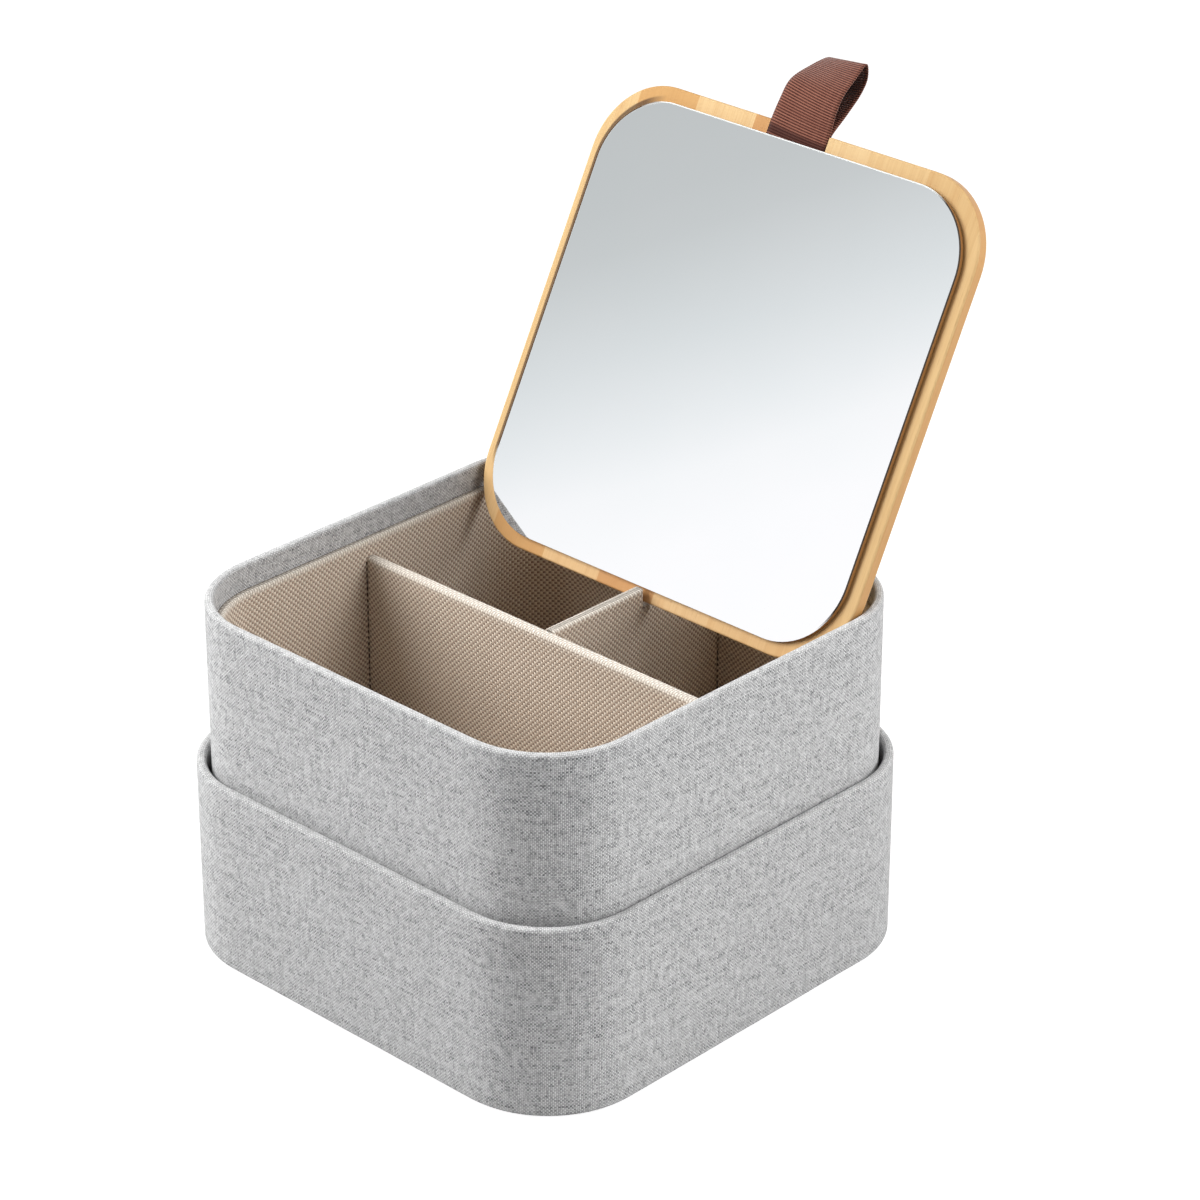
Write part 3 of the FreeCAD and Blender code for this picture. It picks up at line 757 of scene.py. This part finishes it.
def makeLongDivider():
    low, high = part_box("long_divider_cloth")
    foot, top, reach = low.z / mm, high.z / mm, high.x / mm
    half = divider["half"]
    corners = ((-half, foot), (-half, top), (half, top), (half, foot))
    path = roundedPath(corners, (divider["topRound"],) * 2, divider["upStep"])
    run = pathLengths(path)
    xs = np.linspace(-reach, reach, round(2 * reach / divider["step"]) + 1)
    aside = sideways(path)
    overFoot = np.clip(path[:, 1] - foot, 0, 1)
    ripple = divider["wave"] * cloudy(xs[:, None], run[None, :], divider["seed"]) * overFoot[None, :]
    points = np.stack((np.broadcast_to(xs[:, None], ripple.shape),
                       path[None, :, 0] + aside[None, :, 0] * ripple,
                       path[None, :, 1] + aside[None, :, 1] * ripple), -1)
    middle = run[-1] / 2
    fold = 1.0 - easeStep(divider["foldReach"], divider["foldReach"] + 1.0, np.abs(run - middle))
    piece = gridPiece("longDividerCloth", points, xs / divider["thread"], run / divider["thread"], False,
                      liningMaterial, fold[None, :])
    thicken(piece, divider["thickness"])
    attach(piece, "upper_tier")
    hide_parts("long_divider_cloth")


notch = {"front": 44.2, "rear": 52.1, "floor": 102.4}


# the short divider's wrap: both faces cut to the notch, with the cloth rolled over every top edge
def makeShortDivider():
    low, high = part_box("short_divider_cloth")
    foot, top = low.z / mm, high.z / mm
    front, back, half = low.y / mm, high.y / mm, divider["half"]
    ys = np.concatenate((np.linspace(front, notch["front"] - 2.2, 28), [notch["front"] - 1.0, notch["front"]],
                         np.linspace(notch["front"], notch["rear"], 7)[1:], [notch["rear"] + 1.0],
                         np.linspace(notch["rear"] + 2.2, back, 18)))
    zs = np.concatenate((np.linspace(foot, notch["floor"] - 2.2, 24), [notch["floor"] - 1.0, notch["floor"]],
                         np.linspace(notch["floor"], top - 2.4, 5)[1:], [top - 1.7, top - 1.0, top]))
    shape = bmesh.new()
    grid = {}

    def inNotch(y, z):
        return notch["front"] < y < notch["rear"] and z > notch["floor"]

    def corner(i, j):
        if (i, j) not in grid:
            grid[i, j] = shape.verts.new((half, ys[i], zs[j]))
        return grid[i, j]

    for i in range(len(ys) - 1):
        for j in range(len(zs) - 1):
            if not inNotch((ys[i] + ys[i + 1]) / 2, (zs[j] + zs[j + 1]) / 2):
                shape.faces.new((corner(i, j), corner(i + 1, j), corner(i + 1, j + 1), corner(i, j + 1)))
    sheet = bmesh.ops.extrude_face_region(shape, geom=list(shape.faces))
    moved = [v for v in sheet["geom"] if isinstance(v, bmesh.types.BMVert)]
    bmesh.ops.translate(shape, verts=moved, vec=(-2 * half, 0.0, 0.0))
    bmesh.ops.recalc_face_normals(shape, faces=shape.faces)

    # only the top line and the notch are rolled
    def isRolled(edge):
        a, b = edge.verts[0].co, edge.verts[1].co
        if abs(a.x - b.x) > 0.01 or len(edge.link_faces) != 2 or edge.calc_face_angle(0) < 1.0:
            return False
        return min(a.z, b.z) > foot + 0.5 and not (a.y < front + 0.01 and b.y < front + 0.01) \
            and not (a.y > back - 0.01 and b.y > back - 0.01)

    rolled = [edge for edge in shape.edges if isRolled(edge)]
    bmesh.ops.bevel(shape, geom=rolled, offset=divider["topRound"], segments=5, profile=0.5, affect="EDGES",
                    clamp_overlap=True)
    layer = shape.loops.layers.uv.new("threads")
    mark = shape.verts.layers.float.new("fold")

    def edgeGap(v):
        gaps = [top - v.z if not notch["front"] < v.y < notch["rear"] else 99.0]
        if v.z > notch["floor"]:
            gaps += [abs(v.y - notch["front"]), abs(v.y - notch["rear"])]
        if notch["front"] - 0.01 < v.y < notch["rear"] + 0.01:
            gaps.append(abs(v.z - notch["floor"]))
        return max(0.0, min(gaps)) + max(0.0, abs(v.x) - half + divider["topRound"])

    for vert in shape.verts:
        vert[mark] = float(1.0 - easeStep(1.3, 2.3, edgeGap(vert.co)))
    for face in shape.faces:
        for loop in face.loops:
            v = loop.vert.co
            over = v.x if abs(face.normal.x) < 0.9 else math.copysign(half, face.normal.x)
            up = v.z * math.copysign(1, over) + over
            loop[layer].uv = (v.y / divider["thread"], up / divider["thread"])

    # the cloth is open at its foot and at both ends
    def isBare(face):
        spot = face.calc_center_median()
        atFoot = face.normal.z < -0.9 and spot.z < foot + 0.1
        return atFoot or abs(face.normal.y) > 0.9 and not front + 0.1 < spot.y < back - 0.1

    bmesh.ops.delete(shape, geom=[face for face in shape.faces if isBare(face)], context="FACES")
    piece = pieceFrom("shortDividerCloth", shape, liningMaterial)
    thicken(piece, divider["thickness"])
    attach(piece, "upper_tier")
    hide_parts("short_divider_cloth")


makeLongDivider()
makeShortDivider()
print("dividers wrapped")

cornerDots = {"pitch": 2.3, "length": 1.5, "thick": 0.42, "firstDrop": 1.5, "clear": 0.12}


# a column of short dark marks down each inside corner where two linings meet
def makeCornerDots():
    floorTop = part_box("upper_floor_lining")[1].z / mm
    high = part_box("long_divider_cloth")[1]
    wall, aside = high.x / mm - cornerDots["clear"], divider["half"] + cornerDots["clear"]
    spots = []
    for side in (-1, 1):
        spots += [(side * wall, -aside), (side * wall, aside), (side * aside, aside), (side * aside, wall)]
    shape = bmesh.new()
    for order, (x, y) in enumerate(spots):
        z = high.z / mm - cornerDots["firstDrop"]
        count = 0
        while z - cornerDots["length"] > floorTop + 0.5:
            size = 1.0 + 0.18 * math.sin(5.1 * count + order)
            lean = 0.12 * math.sin(2.3 * count + 1.7 * order)
            spot = Matrix.Translation((x, y, z - cornerDots["length"] / 2)) @ Matrix.Rotation(lean, 4, "X") \
                @ Matrix.Diagonal((cornerDots["thick"], cornerDots["thick"], cornerDots["length"] * size, 1.0))
            bmesh.ops.create_uvsphere(shape, u_segments=8, v_segments=6, radius=0.5, matrix=spot)
            z -= cornerDots["pitch"]
            count += 1
    piece = pieceFrom("dividerCornerDots", shape, cornerDotMaterial)
    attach(piece, "upper_tier")
    print("seam stitches:", len(spots), "columns")


makeCornerDots()

ribbon = {
    "middle": -1.2, "width": 25.0, "thick": 0.42, "rib": 0.88, "ribDepth": 0.1, "ribRows": 6, "columns": 15,
    "scallop": 0.05, "warpEnd": 0.5, "halfGap": 0.25, "tails": (142.8, 152.5, 159.5), "tailRise": 0.03,
    "height": 25.5, "back": 18.8, "bend": (161.6, 164.0), "lineSteps": 40,
    # rise and setback of the loop's two edges as shares of its height and depth, front root to back root
    "rightShares": ((0.27, -0.08), (0.52, -0.04), (0.77, 0.12), (1.0, 0.30), (0.84, 0.46), (0.64, 0.44),
                    (0.31, 0.25)),
    "leftShares": ((0.23, 0.01), (0.51, 0.10), (0.74, 0.44), (0.97, 1.0), (0.76, 1.01), (0.54, 0.89),
                   (0.24, 0.46)),
}


# from the lid's own across, up and out to the frame
def lidPoint(u, v, n):
    sine, cosine = math.sin(lid["lean"]), math.cos(lid["lean"])
    footY, footZ = lid["foot"]
    return np.stack((u, footY + v * sine - n * cosine, footZ + v * cosine + n * sine), -1)


# a smooth line through points, with more room for the tight turns
def flowingLine(points, steps):
    points = np.array(points, float)
    padded = np.vstack((2 * points[0] - points[1], points, 2 * points[-1] - points[-2]))
    line = []
    for p0, p1, p2, p3 in zip(padded, padded[1:], padded[2:], padded[3:]):
        t0 = 0.0
        t1 = t0 + np.linalg.norm(p1 - p0) ** 0.5
        t2 = t1 + np.linalg.norm(p2 - p1) ** 0.5
        t3 = t2 + np.linalg.norm(p3 - p2) ** 0.5
        for t in np.linspace(t1, t2, steps, endpoint=False):
            a1 = (t1 - t) / (t1 - t0) * p0 + (t - t0) / (t1 - t0) * p1
            a2 = (t2 - t) / (t2 - t1) * p1 + (t - t1) / (t2 - t1) * p2
            a3 = (t3 - t) / (t3 - t2) * p2 + (t - t2) / (t3 - t2) * p3
            b1 = (t2 - t) / (t2 - t0) * a1 + (t - t0) / (t2 - t0) * a2
            b2 = (t3 - t) / (t3 - t1) * a2 + (t - t1) / (t3 - t1) * a3
            line.append((t2 - t) / (t2 - t1) * b1 + (t - t1) / (t2 - t1) * b2)
    line.append(points[-1])
    return np.array(line)


# side view of the ribbon's middle layer at one share across its width, as (up the lid, out of the lid)
def ribbonLine(share):
    hingeV, hingeN = lid["hinge"]
    half = ribbon["halfGap"]
    loop = []
    for left, right in zip(ribbon["leftShares"], ribbon["rightShares"]):
        rise = ribbon["height"] * (left[0] + share * (right[0] - left[0]))
        setBack = ribbon["back"] * (left[1] + share * (right[1] - left[1]))
        loop.append(np.array((hingeV + rise, hingeN - setBack)))
    ring = [np.array((hingeV, hingeN + 2 * half))] + loop + [np.array((hingeV, hingeN - 2 * half))]
    drawn = []
    for before, here, after in zip(ring, loop, ring[2:]):
        along = (after - before) / np.linalg.norm(after - before)
        drawn.append(here + half * np.array((along[1], -along[0])))
    upper, under = hingeN + half, hingeN - half
    start = [(v, upper) for v in ribbon["tails"]] + [(lid["length"], upper + ribbon["tailRise"])]
    finish = [(lid["length"], under - ribbon["tailRise"])] + [(v, under) for v in reversed(ribbon["tails"])]
    return flowingLine(start + drawn + finish, ribbon["lineSteps"])


def makeRibbon():
    widths = np.linspace(0.0, 1.0, ribbon["columns"])
    lines = [ribbonLine(share) for share in widths]
    length = np.mean([pathLengths(line)[-1] for line in lines])
    ribs = round(length / ribbon["rib"])
    rows = ribs * ribbon["ribRows"] + 1
    along = np.linspace(0.0, 1.0, rows)
    middle = np.zeros((len(widths), rows, 2))
    for k, line in enumerate(lines):
        run = pathLengths(line)
        middle[k, :, 0] = np.interp(along * run[-1], run, line[:, 0])
        middle[k, :, 1] = np.interp(along * run[-1], run, line[:, 1])
    aside = np.stack([sideways(line) for line in middle])
    crest = np.abs(np.sin(np.pi * along * ribs)) ** 0.7
    depth = ribbon["thick"] / 2 - ribbon["ribDepth"] * (1.0 - crest)
    us = ribbon["middle"] + ribbon["width"] * (widths - 0.5)
    scallop = ribbon["scallop"] * (crest - 0.5)
    layers = []
    for side in (1.0, -1.0):
        spots = middle + aside * (side * depth)[None, :, None]
        across = np.broadcast_to(us[:, None], spots.shape[:2]).copy()
        across[0] -= scallop
        across[-1] += scallop
        layers.append(lidPoint(across, spots[:, :, 0], spots[:, :, 1]))
    # one closed skin: over the upper layer, round the edge and back along the lower one
    ring = np.concatenate((layers[0], layers[1][::-1]), axis=0)
    ends = widths * ribbon["width"] / ribbon["warpEnd"]
    ringEnds = np.concatenate((ends, ends[-1] + 1.0 + ends, [2 * ends[-1] + 2.0]))
    piece = gridPiece("ribbonPull", ring, ringEnds, along * ribs, True, ribbonMaterial)
    shape = bmesh.new()
    shape.from_mesh(piece.data)
    bmesh.ops.holes_fill(shape, edges=[e for e in shape.edges if e.is_boundary], sides=0)
    bmesh.ops.recalc_face_normals(shape, faces=shape.faces)
    shape.to_mesh(piece.data)
    shape.free()
    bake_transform(piece)
    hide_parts("pull_tails", "pull_loop")
    print("ribbon:", ribs, "ribs over", round(length, 1), "mm")


makeRibbon()

studio = {
    "floorSize": 9.0, "floorDrop": 0.0002, "floor": paint(196, 196, 196),
    "floorSeen": paint(135, 135, 135), "floorGlow": 0.88,
    "sideLight": 0.36, "topLight": 0.25, "darkSide": (0.707, -0.707, 0.0), "darkShare": 0.02,
    "lamps": {
        "leftBox": {"azimuth": -142.0, "elevation": 39.0, "power": 18.4, "aim": (0.0, -0.088, 0.07),
                    "away": 1.1, "size": 0.9, "spread": 180.0},
        "rightBox": {"azimuth": 30.0, "elevation": 29.0, "power": 10.3, "aim": (0.06, -0.03, 0.06),
                     "away": 1.0, "size": 0.9, "spread": 180.0},
    },
    # what the mirror sees: a white sweep that greys towards the upper left
    "sweep": ((0.645, 1.0), (0.662, 0.985), (0.674, 0.945), (0.683, 0.867), (0.696, 0.752), (0.7045, 0.68),
              (0.713, 0.612), (0.720, 0.585), (0.734, 0.562)),
    "sweepAxis": (-0.777, 0.0, 0.629), "sweepRange": (0.6, 0.76),
}
white = (1.0, 1.0, 1.0, 1.0)


# rays that end at the camera by way of a mirror or a clear piece
def mirrorRays(rays):
    return rays["Is Glossy Ray"], rays["Is Transmission Ray"]


def makeFloor():
    side = studio["floorSize"] / 2
    mesh = bpy.data.meshes.new("studioFloor")
    level = -studio["floorDrop"]
    corners = [(-side, -side, level), (side, -side, level), (side, side, level), (-side, side, level)]
    mesh.from_pydata(corners, [], [(0, 1, 2, 3)])
    material, tree, shader = newMaterial("paleFloor")
    setShader(tree, shader, Base_Color=studio["floor"], Roughness=0.9, Specular_IOR_Level=0.1)
    # to the camera the floor is white, with the object's shadow kept
    glow = addNode(tree, "Emission", white, studio["floorGlow"])
    dimmed = addNode(tree, "BsdfDiffuse", studio["floorSeen"])
    both = addNode(tree, "AddShader", dimmed.outputs[0], glow.outputs[0])
    rays = addNode(tree, "LightPath").outputs
    seen = calc(tree, "MAXIMUM", rays["Is Camera Ray"], calc(tree, "MAXIMUM", *mirrorRays(rays)))
    mix = addNode(tree, "MixShader", seen, shader.outputs[0], both.outputs[0])
    tree.links.new(mix.outputs[0], tree.nodes["Material Output"].inputs["Surface"])
    addPiece("studioFloor", mesh, material)


def makeWorld():
    world = bpy.data.worlds.new("softStudio")
    bpy.context.scene.world = world
    world.use_nodes = True
    tree = world.node_tree
    tree.nodes.clear()
    heading = addNode(tree, "TexCoord").outputs["Generated"]

    def headingAlong(axis):
        return addNode(tree, "VectorMath", heading, axis, operation="DOT_PRODUCT").outputs["Value"]

    low, high = studio["sweepRange"]
    ramp = addNode(tree, "ValToRGB", spread(tree, headingAlong(studio["sweepAxis"]), low, high, 0.0, 1.0))
    stops = []
    for stop, level in studio["sweep"]:
        # the grey is a little cool, most of all in its lighter part
        cool, warm = min(1.0, (1.0 - level) / 0.2), min(1.0, (1.0 - level) / 0.45)
        tint = (1 - 0.06 * cool, 1 - 0.015 * cool, 1.02 - 0.02 * warm)
        stops.append(((stop - low) / (high - low), tuple(level * share for share in tint) + (1.0,)))
    fillRamp(ramp, stops)
    rays = addNode(tree, "LightPath").outputs
    glossy = calc(tree, "MAXIMUM", *mirrorRays(rays))
    overhead = calc(tree, "POWER", calc(tree, "MAXIMUM", splitVector(tree, heading)[2], 0.0), 2.0)
    # the side that the camera stands on is darker
    bright = studio["sideLight"]
    dark = bright * studio["darkShare"]
    side = spread(tree, headingAlong(studio["darkSide"]), 0.2, 0.95, bright, dark, "SMOOTHSTEP")
    soft = calc(tree, "MULTIPLY_ADD", overhead, studio["topLight"], side)
    ambient = addNode(tree, "Background", white, soft)
    reflected = addNode(tree, "Background", ramp.outputs[0], 1.0)
    backdrop = addNode(tree, "Background", white, 1.0)
    lit = addNode(tree, "MixShader", glossy, ambient.outputs[0], reflected.outputs[0])
    seen = addNode(tree, "MixShader", rays["Is Camera Ray"], lit.outputs[0], backdrop.outputs[0])
    out = addNode(tree, "OutputWorld")
    tree.links.new(seen.outputs[0], out.inputs["Surface"])


def makeLamps():
    for name, plan in studio["lamps"].items():
        lamp = bpy.data.lights.new(name, "AREA")
        lamp.shape = "DISK"
        lamp.size = plan["size"]
        lamp.energy = plan["power"]
        lamp.spread = math.radians(plan["spread"])
        holder = bpy.data.objects.new(name, lamp)
        a, e = math.radians(plan["azimuth"]), math.radians(plan["elevation"])
        away = Vector((math.cos(a) * math.cos(e), math.sin(a) * math.cos(e), math.sin(e)))
        holder.location = Vector(plan["aim"]) + away * plan["away"]
        holder.rotation_euler = away.to_track_quat("Z", "Y").to_euler()
        holder.visible_glossy = False
        bpy.context.scene.collection.objects.link(holder)


view = {
    "place": (836.64, -849.56, 725.03),
    "right": (0.72277, 0.69109, 0.00006),
    "look": (-0.61646, 0.64476, -0.45195),
    "lens": 126.147, "sensor": 36.0, "clip": (0.05, 30.0),
}


def makeCamera():
    lens = bpy.data.cameras.new("productView")
    lens.lens = view["lens"]
    lens.sensor_width = view["sensor"]
    lens.clip_start, lens.clip_end = view["clip"]
    camera = bpy.data.objects.new("productView", lens)
    look = Vector(view["look"]).normalized()
    up = Vector(view["right"]).cross(look).normalized()
    right = look.cross(up)
    turn = Matrix((right, up, -look)).transposed().to_4x4()
    camera.matrix_world = Matrix.Translation(Vector(view["place"]) * mm) @ turn
    bpy.context.scene.collection.objects.link(camera)
    bpy.context.scene.camera = camera


makeFloor()
makeWorld()
makeLamps()
makeCamera()
bpy.context.scene.view_settings.view_transform = "Standard"
print("stage, light and camera set")
